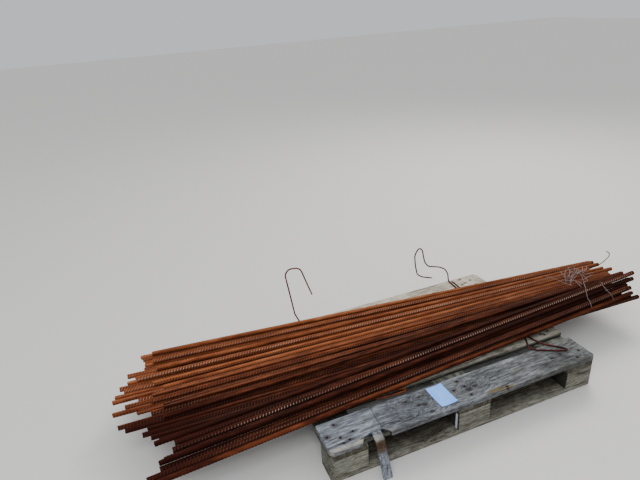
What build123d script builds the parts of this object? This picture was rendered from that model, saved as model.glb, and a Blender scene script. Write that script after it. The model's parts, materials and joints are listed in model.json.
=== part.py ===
from build123d import *
import math
import os

# A bundle of ribbed reinforcing bars, opened out like a fan, lying on a four-way wooden pallet.
# Frame: origin at the middle of the pallet's underside, +X along the pallet, +Y to its far long side,
# +Z up. All sizes are in millimetres.

os.makedirs("parts", exist_ok=True)

# Pallet
PALLET_LENGTH = 1200.0
PALLET_WIDTH = 800.0
BOARD_THICKNESS = 22.0
BLOCK_HEIGHT = 78.0
WIDE_BOARD = 145.0
NARROW_BOARD = 100.0
BLOCK_LENGTH = 145.0
CORNER_CHAMFER = 14.0
CORNER_REACH = 1.0

# Bars
BAR_DIAMETER = 20.0
BAR_LENGTH = 2250.0
RIB_CLEARANCE = 0.8
LEFT_STATION = -1150.0
RIGHT_STATION = LEFT_STATION + BAR_LENGTH
SUPPORT_STEPS = 90

# Wire rod ties that lie across the deck under the bars
TIE_DIAMETER = 6.0
SEAT_CLEARANCE = 0.3
BEND_SHARE = 0.45
LARGEST_TIE_BEND = 60.0
HOOK_STAND_OFF = 12.0

# Thin binding wire over the bars' tight end
BINDING_DIAMETER = 2.4
LARGEST_BINDING_BEND = 14.0
SHORTEST_BINDING_RUN = 9.0
DRAPE_STEP = 3.0
WIRE_SIDES = 6
SAME_PLACE = 1e-6

# Broken place in the front deck board, its outline as (X, distance in from the front edge), and the
# splinter's side view
NOTCH_OUTLINE = [(-476, -1), (-465, 16), (-436, 29), (-386, 29), (-364, 9), (-360, -1)]
SPLINTER_LEFT = -429.0
SPLINTER_WIDTH = 36.0
SPLINTER_THICKNESS = 9.0
SPLINTER_TOP_DROP = 2.0
SPLINTER_BEND_REACH = 6.0
SPLINTER_BEND_DROP = 14.0
SPLINTER_FOOT_REACH = 66.0

# Paper tag on the front deck board
TAG_WIDTH = 72.0
TAG_LENGTH = 110.0
TAG_THICKNESS = 0.5
TAG_X = -101.0
TAG_INSET = 80.0
TAG_TURN = 2.0

# Heights of the pallet's levels
BLOCK_BOTTOM = BOARD_THICKNESS
STRINGER_BOTTOM = BLOCK_BOTTOM + BLOCK_HEIGHT
DECK_BOTTOM = STRINGER_BOTTOM + BOARD_THICKNESS
DECK_TOP = DECK_BOTTOM + BOARD_THICKNESS
TIE_HEIGHT = DECK_TOP + SEAT_CLEARANCE + TIE_DIAMETER / 2
BAR_ON_TIE = TIE_HEIGHT + TIE_DIAMETER / 2 + SEAT_CLEARANCE + BAR_DIAMETER / 2
BAR_ON_DECK = DECK_TOP + SEAT_CLEARANCE + BAR_DIAMETER / 2
BAR_SPACING = BAR_DIAMETER + RIB_CLEARANCE
FRONT_EDGE = -PALLET_WIDTH / 2
BINDING_REACH = (BAR_DIAMETER + BINDING_DIAMETER) / 2 + SEAT_CLEARANCE

# Rows of the pallet, front to back, and its columns, left to right
OUTER_ROW = (PALLET_WIDTH - NARROW_BOARD) / 2
OUTER_COLUMN = (PALLET_LENGTH - BLOCK_LENGTH) / 2
DECK_GAP = (PALLET_WIDTH - 3 * WIDE_BOARD - 2 * NARROW_BOARD) / 4
ROWS = {"front": (-OUTER_ROW, NARROW_BOARD), "middle": (0.0, WIDE_BOARD), "back": (OUTER_ROW, NARROW_BOARD)}
COLUMNS = {"left": -OUTER_COLUMN, "middle": 0.0, "right": OUTER_COLUMN}


def finish(piece, name):
    """Label the piece and write its file."""
    piece.part.label = name
    export_step(piece.part, f"parts/{name}.step")


def plank(name, length, width, bottom, centre, thickness=BOARD_THICKNESS, corners=(), notch=None):
    """A sawn board or block. The vertical edges at the corners listed are chamfered."""
    with BuildPart() as board:
        with BuildSketch(Plane.XY.offset(bottom)):
            with Locations(centre):
                Rectangle(length, width)
        extrude(amount=thickness)
        edges = [e for e in board.edges().filter_by(Axis.Z) if corner_of(e) in corners]
        if edges:
            chamfer(edges, CORNER_CHAMFER)
        if notch:
            with BuildSketch(Plane.XY.offset(bottom)):
                with BuildLine():
                    Polyline(*notch, close=True)
                make_face()
            extrude(amount=thickness, mode=Mode.SUBTRACT)
    finish(board, name)


def corner_of(edge):
    """Which corner of the pallet the upright edge stands at, or None."""
    at = edge.center()
    on_end = abs(abs(at.X) - PALLET_LENGTH / 2) < CORNER_REACH
    on_side = abs(abs(at.Y) - PALLET_WIDTH / 2) < CORNER_REACH
    return (at.X > 0, at.Y > 0) if on_end and on_side else None


PALLET_CORNERS = [(False, False), (False, True), (True, False), (True, True)]


def make_pallet():
    deck_widths = [WIDE_BOARD, NARROW_BOARD, WIDE_BOARD, NARROW_BOARD, WIDE_BOARD]
    edge = FRONT_EDGE
    notch = [(x, FRONT_EDGE + inset) for x, inset in NOTCH_OUTLINE]
    for number, width in enumerate(deck_widths, start=1):
        plank(f"deck_board_{number}", PALLET_LENGTH, width, DECK_BOTTOM, (0, edge + width / 2),
              corners=PALLET_CORNERS, notch=notch if number == 1 else None)
        edge += width + DECK_GAP
    for column, x in COLUMNS.items():
        plank(f"stringer_{column}", BLOCK_LENGTH, PALLET_WIDTH, STRINGER_BOTTOM, (x, 0),
              corners=PALLET_CORNERS)
        for row, (y, width) in ROWS.items():
            plank(f"block_{row}_{column}", BLOCK_LENGTH, width, BLOCK_BOTTOM, (x, y), BLOCK_HEIGHT,
                  PALLET_CORNERS)
    for row, (y, width) in ROWS.items():
        plank(f"bottom_board_{row}", PALLET_LENGTH, width, 0, (0, y), corners=PALLET_CORNERS)


def make_splinter():
    """The strip that broke out of the front deck board, bent over its edge and hanging to the ground."""
    top = DECK_TOP - SPLINTER_TOP_DROP
    back = FRONT_EDGE + max(inset for x, inset in NOTCH_OUTLINE) - SEAT_CLEARANCE
    bend_y = FRONT_EDGE - SPLINTER_BEND_REACH
    foot_y = FRONT_EDGE - SPLINTER_FOOT_REACH
    bend = DECK_TOP - SPLINTER_BEND_DROP
    lean = math.atan2(bend, bend_y - foot_y)
    across = SPLINTER_THICKNESS / math.sin(lean)
    with BuildPart() as splinter:
        with BuildSketch(Plane.YZ.offset(SPLINTER_LEFT)):
            with BuildLine():
                Polyline((back, top), (bend_y, bend), (foot_y, 0), (foot_y + across, 0),
                         (bend_y + across, bend - SPLINTER_THICKNESS), (back, top - SPLINTER_THICKNESS),
                         close=True)
            make_face()
        extrude(amount=SPLINTER_WIDTH)
    finish(splinter, "deck_board_splinter")


def make_tag():
    with BuildPart() as tag:
        with BuildSketch(Plane.XY.offset(DECK_TOP)):
            with Locations(Location((TAG_X, FRONT_EDGE + TAG_INSET), TAG_TURN)):
                Rectangle(TAG_WIDTH, TAG_LENGTH)
        extrude(amount=TAG_THICKNESS)
    finish(tag, "paper_tag")


def bend_radii(points, largest):
    """The largest bend that each corner of a wire's route has room for."""
    radii = []
    for before, at, after in zip(points, points[1:], points[2:]):
        arriving = Vector(*at) - Vector(*before)
        leaving = Vector(*after) - Vector(*at)
        half_turn = math.radians(arriving.get_angle(leaving) / 2)
        room = BEND_SHARE * min(arriving.length, leaving.length)
        radii.append(min(room / math.tan(half_turn), largest))
    return radii


def bent_wires(name, routes, diameter, largest_bend):
    """Wires along straight runs joined by bends, drawn with few sides."""
    with BuildPart() as wires:
        for points in routes:
            with BuildLine() as route:
                FilletPolyline(*points, radius=bend_radii(points, largest_bend))
            with BuildSketch(Plane(origin=route.line @ 0, z_dir=route.line % 0)):
                RegularPolygon(diameter / 2, WIRE_SIDES)
            sweep(path=route.line)
    finish(wires, name)


# Each tie runs from the end of its hidden strand, round its hairpin in front of the bars, back under
# them and up in the open hook that stands behind the pallet.
LEFT_HOOK_Y = PALLET_WIDTH / 2 + HOOK_STAND_OFF
LEFT_TIE = [
    (-395, 150, TIE_HEIGHT), (-388, 0, TIE_HEIGHT), (-376, -130, TIE_HEIGHT), (-342, -206, TIE_HEIGHT),
    (-262, -212, TIE_HEIGHT), (-208, -231, TIE_HEIGHT), (-213, -243, TIE_HEIGHT), (-252, -242, TIE_HEIGHT),
    (-342, -236, TIE_HEIGHT), (-398, -140, TIE_HEIGHT), (-412, 60, TIE_HEIGHT), (-419, 250, TIE_HEIGHT),
    (-420, LEFT_HOOK_Y, TIE_HEIGHT), (-437, LEFT_HOOK_Y + 2, 188), (-449, LEFT_HOOK_Y, 280),
    (-467, LEFT_HOOK_Y, 412), (-448, LEFT_HOOK_Y, 436), (-392, LEFT_HOOK_Y, 431),
    (-369, LEFT_HOOK_Y, 355), (-340, LEFT_HOOK_Y + 3, 265)]
RIGHT_TIE = [
    (441, 392, TIE_HEIGHT), (432, 250, TIE_HEIGHT), (436, 60, TIE_HEIGHT), (446, -160, TIE_HEIGHT),
    (450, -205, TIE_HEIGHT), (464, -248, TIE_HEIGHT), (514, -297, TIE_HEIGHT), (527, -319, TIE_HEIGHT),
    (516, -323, TIE_HEIGHT), (476, -304, TIE_HEIGHT), (412, -268, TIE_HEIGHT), (391, -243, TIE_HEIGHT),
    (436, -164, TIE_HEIGHT), (420, 60, TIE_HEIGHT), (414, 250, TIE_HEIGHT), (425, 396, TIE_HEIGHT),
    (447, 432, 165), (455, 470, 176), (436, 500, 180), (372, 515, 193), (354, 520, 225),
    (338, 520, 300), (318, 520, 315), (291, 520, 280), (297, 520, 215), (308, 518, 158), (330, 505, 143),
    (389, 490, 128)]

LEFT_SEAT = (-425.0, -372.0)
RIGHT_SEAT = (410.0, 450.0)


def fan(left_front, left_pitch, right_front, right_pitch, tips):
    """Bars side by side, front to back: (tip past the left station, Y there, Y at the right station)."""
    return [(tip, left_front + n * left_pitch, right_front + n * right_pitch) for n, tip in enumerate(tips)]


# The layers in the order in which they lie on one another
LAYERS = {
    "bars_bottom_front": fan(-94, 24.5, -172, 23.5, [13, -12, -40, -20, -98, -122]),
    "bars_bottom_back": fan(58, 47.5, -31, 21.4, [0, -138, -40, -125, -106, -40, -1, 7, -7]),
    "bars_second_back": fan(82, 47.5, -20, 21.4, [-50, -91, -136, -90, -73, -71, 5, 0]),
    "bars_third_back": [
        (50, 56, -31), (10, 104, -9), (16, 142, 12), (62, 167, 33), (30, 208, 55),
        (-32, 258, 76), (50, 304, 98), (40, 359, 119), (43, 417, 141)],
    "bars_second_front": [
        (46, -2, -42), (-18, -267, -158), (0, -214, -134), (1, -197, -111), (63, -142, -92),
        (-3, -124, -62)],
    "bars_third_front": [(-45, -246, -146), (20, -209, -105)],
    "bars_top": [(52, -168, -97)]}

# Strands of binding wire: places along each as (X past the bars' right station, Y, how far the place
# stands off what lies under it)
STRANDS = [
    [(-295, 121, 0), (-282, 88, 0), (-275, 44, 0), (-273, 2, 0), (-262, -32, 0)],
    [(-228, 15, 0), (-207, 37, 6), (-182, 44, 9), (-157, 40, 9), (-152, 16, 6), (-164, -10, 2),
     (-186, -46, 0), (-220, -50, 0), (-242, -78, 0), (-270, -112, 0), (-294, -147, 0), (-296, -181, 0)],
    [(-197, 14, 2), (-216, -12, 0), (-238, -44, 6), (-247, -66, 0)],
    [(-147, -75, 0), (-170, -117, 0), (-166, -154, 0), (-154, -176, 0)],
    [(-192, 118, 0), (-213, 84, 0), (-234, 44, 2), (-216, 33, 14), (-195, 57, 18), (-170, 82, 20),
     (-138, 70, 22), (-144, 36, 26), (-179, 26, 28), (-196, 52, 32), (-168, 96, 26), (-134, 104, 14),
     (-98, 112, 2)],
    [(-62, 30, 0), (-96, 25, 0), (-132, 16, 10), (-138, 34, 22), (-114, 56, 26), (-88, 78, 18),
     (-61, 101, 1)],
    [(-122, 46, 0), (-95, 52, 14), (-68, 70, 16), (-42, 97, 1)]]

# The dark wire under the bars' right ends, whose end springs up behind them, from the same station
TAIL_UNDER = [(-70, -62), (-56, 30), (-22, 118)]
TAIL_END = [(26, 148, 149), (83, 153, 149), (118, 152, 153), (153, 152, 167), (182, 150, 190),
            (184, 150, 210), (151, 150, 232)]


def height_over(line, x, y, reach=BAR_SPACING):
    """How high an axis has to be at x, y to pass over the bar placed along the line, or None."""
    start, end = line
    if not start.X <= x <= end.X:
        return None
    at = start + (end - start) * ((x - start.X) / (end.X - start.X))
    aside = abs(at.Y - y)
    if aside >= reach:
        return None
    return at.Z + math.sqrt(reach ** 2 - aside ** 2)


def top_outline(supports):
    """The line that a string pulled tight over the supports would take."""
    outline = []
    for x, z in sorted(supports):
        while len(outline) > 1:
            (x1, z1), (x2, z2) = outline[-2:]
            if (x2 - x1) * (z - z1) < (z2 - z1) * (x - x1):
                break
            outline.pop()
        outline.append((x, z))
    return outline


def resting_edge(supports, middle):
    """The two supports that the bar tips onto: the top outline's span over its middle."""
    outline = top_outline(supports)
    return next(span for span in zip(outline, outline[1:]) if span[1][0] >= middle)


def settle(rows, placed):
    """Lay each bar of the layer down on the ties, the deck and the bars placed so far."""
    lines = []
    for offset, left_y, right_y in rows:
        tip = LEFT_STATION + offset
        slope = (right_y - left_y) / (RIGHT_STATION - LEFT_STATION)
        supports = [(x, BAR_ON_TIE) for x in LEFT_SEAT + RIGHT_SEAT]
        supports += [(side * PALLET_LENGTH / 2, BAR_ON_DECK) for side in (-1, 1)]
        stations = [tip + BAR_LENGTH * k / SUPPORT_STEPS for k in range(SUPPORT_STEPS + 1)]
        for x in stations:
            y = left_y + slope * (x - LEFT_STATION)
            heights = [h for h in (height_over(line, x, y) for line in placed) if h is not None]
            if heights:
                supports.append((x, max(heights)))
        (x1, z1), (x2, z2) = resting_edge(supports, tip + BAR_LENGTH / 2)
        rise = (z2 - z1) / (x2 - x1)
        start = Vector(tip, left_y + slope * (tip - LEFT_STATION), z1 + rise * (tip - x1))
        end = start + Vector(1, slope, rise).normalized() * BAR_LENGTH
        placed.append((start, end))
        lines.append((start, end))
    return lines


def make_bars():
    placed = []
    for name, rows in LAYERS.items():
        lines = settle(rows, placed)
        planes = [Plane(origin=start, z_dir=end - start) for start, end in lines]
        with BuildPart() as layer:
            with BuildSketch(*planes):
                Circle(BAR_DIAMETER / 2)
            extrude(amount=BAR_LENGTH)
        finish(layer, name)
    return placed


def support_height(x, y, bars):
    """How high the axis of a binding wire lies at x, y on the bars."""
    heights = [height_over(line, x, y, BINDING_REACH) for line in bars]
    return max([h for h in heights if h is not None], default=BAR_ON_DECK)


def height_along(outline, distance):
    """The outline's height at a distance along it."""
    spans = zip(outline, outline[1:])
    (d1, z1), (d2, z2) = next(span for span in spans if span[1][0] >= distance - SAME_PLACE)
    return z1 + (z2 - z1) * (distance - d1) / (d2 - d1)


def drape(strand, bars):
    """The route of a strand pulled over the bars and the places where it stands off them."""
    strand = [(RIGHT_STATION + x, y, lift) for x, y, lift in strand]
    places = []
    bends = []
    distance = 0
    for (x1, y1, lift1), (x2, y2, lift2) in zip(strand, strand[1:]):
        run = math.hypot(x2 - x1, y2 - y1)
        steps = math.ceil(run / DRAPE_STEP)
        bends.append((distance, x1, y1))
        for k in range(steps):
            x = x1 + (x2 - x1) * k / steps
            y = y1 + (y2 - y1) * k / steps
            places.append((distance + run * k / steps, x, y, lift1 if k == 0 else 0))
        distance += run
    bends.append((distance, x2, y2))
    places.append((distance, x2, y2, lift2))
    supports = {d: support_height(x, y, bars) for d, x, y, lift in places}
    outline = top_outline([(d, supports[d] + lift) for d, x, y, lift in places])
    route = list(bends)
    for d, x, y, lift in places:
        is_corner = any(d == corner for corner, z in outline)
        if is_corner and all(abs(d - other[0]) >= SHORTEST_BINDING_RUN for other in route):
            route.append((d, x, y))
    route.sort()
    heights = [(d, height_along(outline, d)) for d, x, y in route]
    rise = max(supports[d] - height_along(heights, d) for d in supports)
    return [(x, y, z + max(rise, 0)) for (d, x, y), (d, z) in zip(route, heights)]


def tail_route(bars):
    """Straight under the lowest bars, then up behind their ends."""
    low_run = [(RIGHT_STATION + x, y) for x, y in TAIL_UNDER]
    axes = []
    for start, end in bars:
        rise = (end.Z - start.Z) / (end.X - start.X)
        axes += [start.Z + rise * (x - start.X) for x, y in low_run if x <= end.X]
    under = min(axes) - BINDING_REACH
    free_end = [(RIGHT_STATION + x, y, z) for x, y, z in TAIL_END]
    return [(x, y, under) for x, y in low_run] + free_end


make_pallet()
make_splinter()
make_tag()
bar_lines = make_bars()
bent_wires("tie_left", [LEFT_TIE], TIE_DIAMETER, LARGEST_TIE_BEND)
bent_wires("tie_right", [RIGHT_TIE], TIE_DIAMETER, LARGEST_TIE_BEND)
strand_routes = [drape(strand, bar_lines) for strand in STRANDS]
bent_wires("binding_wire_strands", strand_routes, BINDING_DIAMETER, LARGEST_BINDING_BEND)
bent_wires("binding_wire_tail", [tail_route(bar_lines)], BINDING_DIAMETER, LARGEST_BINDING_BEND)
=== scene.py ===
import json
import math
import random

import bpy
import numpy as np
from mathutils import Matrix, Vector

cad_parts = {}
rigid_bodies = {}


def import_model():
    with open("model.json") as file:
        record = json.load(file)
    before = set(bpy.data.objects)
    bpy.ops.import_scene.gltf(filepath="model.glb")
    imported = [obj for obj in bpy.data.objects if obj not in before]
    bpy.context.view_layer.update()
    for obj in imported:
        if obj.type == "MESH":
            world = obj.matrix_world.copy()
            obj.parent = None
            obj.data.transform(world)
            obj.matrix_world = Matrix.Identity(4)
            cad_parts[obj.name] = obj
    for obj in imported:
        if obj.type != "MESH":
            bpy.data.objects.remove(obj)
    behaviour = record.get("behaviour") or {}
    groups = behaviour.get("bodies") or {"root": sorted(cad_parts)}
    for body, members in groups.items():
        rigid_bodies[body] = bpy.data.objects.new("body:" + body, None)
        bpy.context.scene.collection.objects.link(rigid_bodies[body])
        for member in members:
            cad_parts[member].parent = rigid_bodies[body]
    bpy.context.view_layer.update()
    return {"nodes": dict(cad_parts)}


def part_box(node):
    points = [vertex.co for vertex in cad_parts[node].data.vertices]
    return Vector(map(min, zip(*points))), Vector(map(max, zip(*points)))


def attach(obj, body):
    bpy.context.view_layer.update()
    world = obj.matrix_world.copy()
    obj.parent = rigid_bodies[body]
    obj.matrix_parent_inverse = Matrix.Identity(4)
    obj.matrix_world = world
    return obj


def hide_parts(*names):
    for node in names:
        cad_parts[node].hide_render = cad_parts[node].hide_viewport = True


# A fan-shaped bundle of rusty ribbed bars on a weathered pallet. All sizes are in metres.
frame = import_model()

# Bars: a round core with two rows of crescent ribs and two seams
BAR_LENGTH = 2.25
CORE_RADIUS = 0.0094
CORE_SIDES = 20
RIB_PITCH = 0.012
RIB_CREST = 0.0107
RIB_ROOT = 0.0087
RIB_WIDTH = 0.0050
RIB_CREST_WIDTH = 0.0024
RIB_SHIFT = 0.0022
RIB_SWEEP = math.radians(150)
RIB_STEPS = 5
RIB_SLANT = math.radians(20)
FIRST_RIB = 0.75
SEAM_WIDTH = 0.0018
SEAM_CREST = 0.0103
SEAM_SHORT = 0.004
CUT_RIM = 0.0012
CUT_SINK = 0.0016
CUT_LEANS = {0.0: 0.10, BAR_LENGTH: -0.12}
END_REACH = 0.004
SOLID_END_REACH = 0.006

# A rib row faces the camera's side when the bar is rolled so far from lying on its seam
FACING_ROLL = 140.0

# Each layer's bars, front to back: (how dark, partly the bar's own rust and partly painted shade on the front
# layers; how rubbed, partly worn crests and partly a painted highlight; roll from facing in degrees)
BAR_LOOKS = {
    "bars_bottom_front": [(0.90, 0.1, 10), (0.92, 0.1, -30), (0.86, 0.2, 20), (0.80, 0.2, 70),
                          (0.84, 0.1, 0), (0.66, 0.2, 30)],
    "bars_bottom_back": [(0.55, 0.3, 15), (0.42, 0.2, 60), (0.30, 0.5, 0), (0.28, 0.15, 80), (0.25, 0.3, 15),
                         (0.22, 0.1, 70), (0.18, 0.35, 0), (0.22, 0.1, 70), (0.12, 0.05, 85)],
    "bars_second_back": [(0.52, 0.5, 90), (0.40, 0.2, 10), (0.30, 0.3, 65), (0.22, 0.55, 0), (0.20, 0.15, 75),
                         (0.22, 0.3, 10), (0.15, 0.1, 80), (0.18, 0.35, 5)],
    "bars_third_back": [(0.62, 0.6, 90), (0.46, 0.2, 20), (0.34, 0.6, 88), (0.18, 0.15, 70), (0.20, 0.2, 40),
                        (0.14, 0.75, 0), (0.24, 0.15, 75), (0.28, 0.45, 5), (0.12, 0.08, 80)],
    "bars_second_front": [(0.66, 0.05, 80), (0.88, 0.25, 10), (0.94, 0.1, 60), (0.84, 0.18, 0),
                          (0.92, 0.1, 75), (0.76, 0.2, 90)],
    "bars_third_front": [(0.82, 0.25, 5), (0.96, 0.05, 85)],
    "bars_top": [(0.80, 0.62, 0)]}

# Wires are drawn a little fuller than their solids, as they show
TIE_FULLER = 0.0010
TAIL_FULLER = 0.0012
STRAND_FULLER = 0.0003

# Loose loops in the tangle of binding wire, as (X, Y, how far above the bars)
LOOP_RADIUS = 0.0014
LOOP_REACH = 0.016
WIRE_LOOPS = [
    [(0.850, 0.020, 0.001), (0.870, 0.050, 0.008), (0.900, 0.080, 0.014), (0.935, 0.095, 0.012),
     (0.925, 0.075, 0.016), (0.900, 0.055, 0.010), (0.870, 0.040, 0.001)],
    [(0.845, -0.010, 0.001), (0.875, 0.015, 0.014), (0.925, 0.035, 0.024), (0.945, 0.035, 0.020),
     (0.935, -0.005, 0.001)],
    [(0.990, 0.105, 0.003), (0.955, 0.075, 0.012), (0.905, 0.055, 0.020), (0.880, 0.035, 0.014),
     (0.905, 0.030, 0.018), (0.945, 0.055, 0.022), (0.985, 0.090, 0.006)],
    [(1.000, 0.095, 0.001), (0.965, 0.055, 0.010), (0.915, 0.030, 0.008), (0.870, 0.010, 0.001)],
    [(0.930, 0.005, 0.001), (0.945, 0.000, 0.006), (0.975, 0.005, 0.008), (1.020, 0.015, 0.001)],
    [(0.855, 0.030, 0.001), (0.895, 0.040, 0.006), (0.940, 0.060, 0.008), (0.985, 0.060, 0.006),
     (1.015, 0.065, 0.001)],
    [(0.850, 0.050, 0.001), (0.855, 0.020, 0.010), (0.885, 0.015, 0.008), (0.900, -0.005, 0.006),
     (0.875, -0.050, 0.001)]]

# Pallet: its planes and edges, as in the frame
DECK_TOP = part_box("deck_board_1")[1].z
DECK_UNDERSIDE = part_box("deck_board_1")[0].z
STRINGER_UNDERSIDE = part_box("stringer_left")[0].z
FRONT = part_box("deck_board_1")[0].y
HALF_WIDTH = -FRONT
HALF_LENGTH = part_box("deck_board_1")[1].x
BLOCK_COLUMNS = (-0.5275, 0.0, 0.5275)
NOTCH_LEFT = -0.4755
NOTCH_RIGHT = -0.3595
NOTCH_BACK = -0.3695
BROKEN_ABOVE = 0.132

# Wear of the wood, and how far the painted shadow in the gaps reaches. A surface counts as a board's own face
# within the skin's depth of it.
SKIN = 0.0025
EDGE_WEAR = 0.0022
FRONT_WEAR = 0.007
FRONT_WEAR_END = -0.46
SURFACE_WEAR = 0.0018
GAP_SHADOW = 0.012
SHADOW_EDGE = 0.003

# How finely each board is cut up
GRAIN_STEPS = {"deck_board_1": 0.0055, "deck_board_splinter": 0.006, "deck_board_2": 0.008,
               "deck_board_5": 0.008, "block_front_left": 0.009, "block_front_middle": 0.009,
               "block_front_right": 0.009}
PLAIN_STEP = 0.016
LONG_STEP = 1.6

# Nails, and the ones that show in the photograph as (X, Y, stain's length in plain stains)
NAIL_RADIUS = 0.0046
NAIL_DEPTH = 0.004
NAIL_PROUD = 0.0004
STAIN_LENGTH = 0.011
STAIN_WIDTH = 0.0075
SEEN_NAILS = {
    "deck_board_1": [(-0.538, -0.281, 1), (-0.487, -0.338, 2.4), (-0.582, -0.326, 1.4), (-0.539, -0.347, 1),
                     (-0.538, -0.374, 1.6), (-0.512, -0.368, 2.4), (-0.003, -0.282, 1), (0.008, -0.317, 1),
                     (-0.044, -0.320, 1), (0.004, -0.367, 1), (0.478, -0.328, 1), (0.431, -0.334, 1),
                     (0.565, -0.340, 1), (0.525, -0.373, 1)],
    "deck_board_2": [(0.551, -0.179, 1), (0.509, -0.184, 1), (0.521, -0.193, 1)],
    "deck_board_5": [(0.490, 0.384, 1), (0.492, 0.341, 1), (0.534, 0.354, 1), (0.535, 0.305, 1),
                     (0.466, 0.331, 1)]}

# Places on the front board as (X, Y), and the ones with painted shade as (X, Y, reach, amount)
DECK_SHADE_PLACES = [(-0.20, -0.33, 0.13, 0.55), (0.02, -0.335, 0.07, 0.50), (0.47, -0.352, 0.13, 0.90),
                (0.30, -0.35, 0.10, 0.30)]
ROTTEN_PLACES = [(0.105, -0.386), (0.142, -0.393)]
ROTTEN_HOLES = [(0.153, -0.388), (0.147, -0.399)]
SEEN_KNOTS = [(-0.206, -0.328), (-0.183, -0.336), (-0.179, -0.376), (-0.245, -0.292), (0.045, -0.332),
              (0.013, -0.342)]

# Cracks as (line, width, depth)
CRACKS = {
    "deck_board_1": [
        ([(-0.230, -0.370), (-0.255, -0.376), (-0.283, -0.379), (-0.322, -0.367), (-0.359, -0.358),
          (-0.388, -0.363)], 0.0036, 0.013),
        ([(-0.435, -0.377), (-0.447, -0.382), (-0.462, -0.381), (-0.478, -0.385)], 0.0030, 0.014),
        ([(-0.377, -0.250), (-0.380, -0.281), (-0.383, -0.316), (-0.384, -0.343), (-0.382, -0.368)],
         0.0020, 0.010),
        ([(0.418, -0.285), (0.424, -0.318), (0.421, -0.364)], 0.0012, 0.005),
        ([(0.150, -0.396), (0.158, -0.391), (0.145, -0.386)], 0.0044, 0.009),
        ([(0.132, -0.381), (0.197, -0.374), (0.262, -0.369), (0.310, -0.361), (0.361, -0.351),
          (0.392, -0.352)], 0.0020, 0.007),
        ([(-0.303, -0.322), (-0.305, -0.344), (-0.303, -0.361)], 0.0010, 0.004),
        ([(-0.610, -0.352), (-0.572, -0.356), (-0.533, -0.353), (-0.500, -0.357)], 0.0010, 0.006)],
    "deck_board_5": [
        ([(0.610, 0.372), (0.560, 0.368), (0.500, 0.371), (0.430, 0.366)], 0.0014, 0.008),
        ([(0.120, 0.330), (0.200, 0.326), (0.290, 0.329)], 0.0010, 0.005)],
    "deck_board_2": [([(0.610, -0.184), (0.566, -0.181), (0.520, -0.184)], 0.0012, 0.008)]}

# Paper: the tag on the front board, and a strip on the left face of the front middle block
TAG_WIDTH = 0.072
TAG_LENGTH = 0.110
TAG_TURN = math.radians(2)
TAG_LIFT = 0.012
TAG_FLAT_SHARE = 0.55
TAG_SHEET = 0.0003
TAG_CLEAR = 0.0004
STRIP_LENGTH = 0.074
STRIP_WIDTH = 0.011
STRIP_SHEET = 0.0004
STRIP_CLEAR = 0.0012
STRIP_Y = -0.386
STRIP_Z = 0.060

# Loose splinters where the front board broke: (which way they point, X, number, highest Y)
TORN_ENDS = [(1, -0.472, 22, -0.378), (-1, -0.366, 14, -0.386)]
TORN_LOWEST_Y = -0.396

# Camera, fitted to the pallet's corners: place, turn in degrees, lens and sensor in millimetres
CAMERA_PLACE = (-1.0386, -1.6189, 1.5554)
CAMERA_TURN = (64.995, 3.539, -22.062)
CAMERA_LENS = 29.14
CAMERA_SENSOR = 36.0

draws = random.Random(7)


def select_only(*pieces):
    """Select these pieces alone, the first one active."""
    bpy.ops.object.select_all(action="DESELECT")
    for piece in pieces:
        piece.select_set(True)
    bpy.context.view_layer.objects.active = pieces[0]


def in_edit_mode(piece, *steps):
    """Run each step on the piece in edit mode, with everything selected first."""
    select_only(piece)
    for step in steps:
        bpy.ops.object.mode_set(mode="EDIT")
        bpy.ops.mesh.select_all(action="SELECT")
        step()
        bpy.ops.object.mode_set(mode="OBJECT")


def select_where(piece, wanted, kind="FACE"):
    """In edit mode, select only the faces, edges or vertices that the test wants."""
    bpy.ops.mesh.select_all(action="DESELECT")
    bpy.ops.mesh.select_mode(type=kind)
    bpy.ops.object.mode_set(mode="OBJECT")
    mesh = piece.data
    if kind == "FACE":
        for face in mesh.polygons:
            face.select = wanted(face)
    elif kind == "EDGE":
        for edge in mesh.edges:
            ends = [mesh.vertices[v].co for v in edge.vertices]
            edge.select = wanted(*ends)
    else:
        for vertex in mesh.vertices:
            vertex.select = wanted(vertex.co)
    bpy.ops.object.mode_set(mode="EDIT")


def apply_modifier(piece, kind, **settings):
    """Put a modifier with these settings on the piece and apply it."""
    select_only(piece)
    modifier = piece.modifiers.new(kind.title(), kind)
    for name, value in settings.items():
        setattr(modifier, name, value)
    bpy.ops.object.modifier_apply(modifier=modifier.name)


def settle_place(piece):
    """Put the piece's place in its mesh and its object at the origin."""
    select_only(piece)
    bpy.ops.object.transform_apply(location=True, rotation=True, scale=True)


def outward_faces(piece):
    """Merge the piece's doubles and turn its faces outwards."""
    in_edit_mode(piece, lambda: bpy.ops.mesh.remove_doubles(threshold=1e-6),
                 lambda: bpy.ops.mesh.normals_make_consistent(inside=False))


def mark(piece, name, values):
    """Give each vertex a value that the materials read."""
    attribute = piece.data.attributes.get(name) or piece.data.attributes.new(name, "FLOAT", "POINT")
    attribute.data.foreach_set("value", np.asarray(values, np.float32))


def mark_place(piece, name, values):
    """Give each vertex a place of its own that the materials read, such as where it lies on a bar."""
    attribute = piece.data.attributes.get(name) or piece.data.attributes.new(name, "FLOAT_VECTOR", "POINT")
    attribute.data.foreach_set("vector", np.asarray(values, np.float32).ravel())


def places(piece):
    """The piece's vertices as an array."""
    flat = np.zeros(len(piece.data.vertices) * 3)
    piece.data.vertices.foreach_get("co", flat)
    return flat.reshape(-1, 3)


def finished(piece, name, material, slot, *nodes):
    """Name a piece, give it its material and body, and hide the nodes that it stands for."""
    piece.name = name
    piece.data.materials.clear()
    piece.data.materials.append(material)
    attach(piece, "root")
    if nodes:
        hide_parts(*nodes)
    return piece


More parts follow.
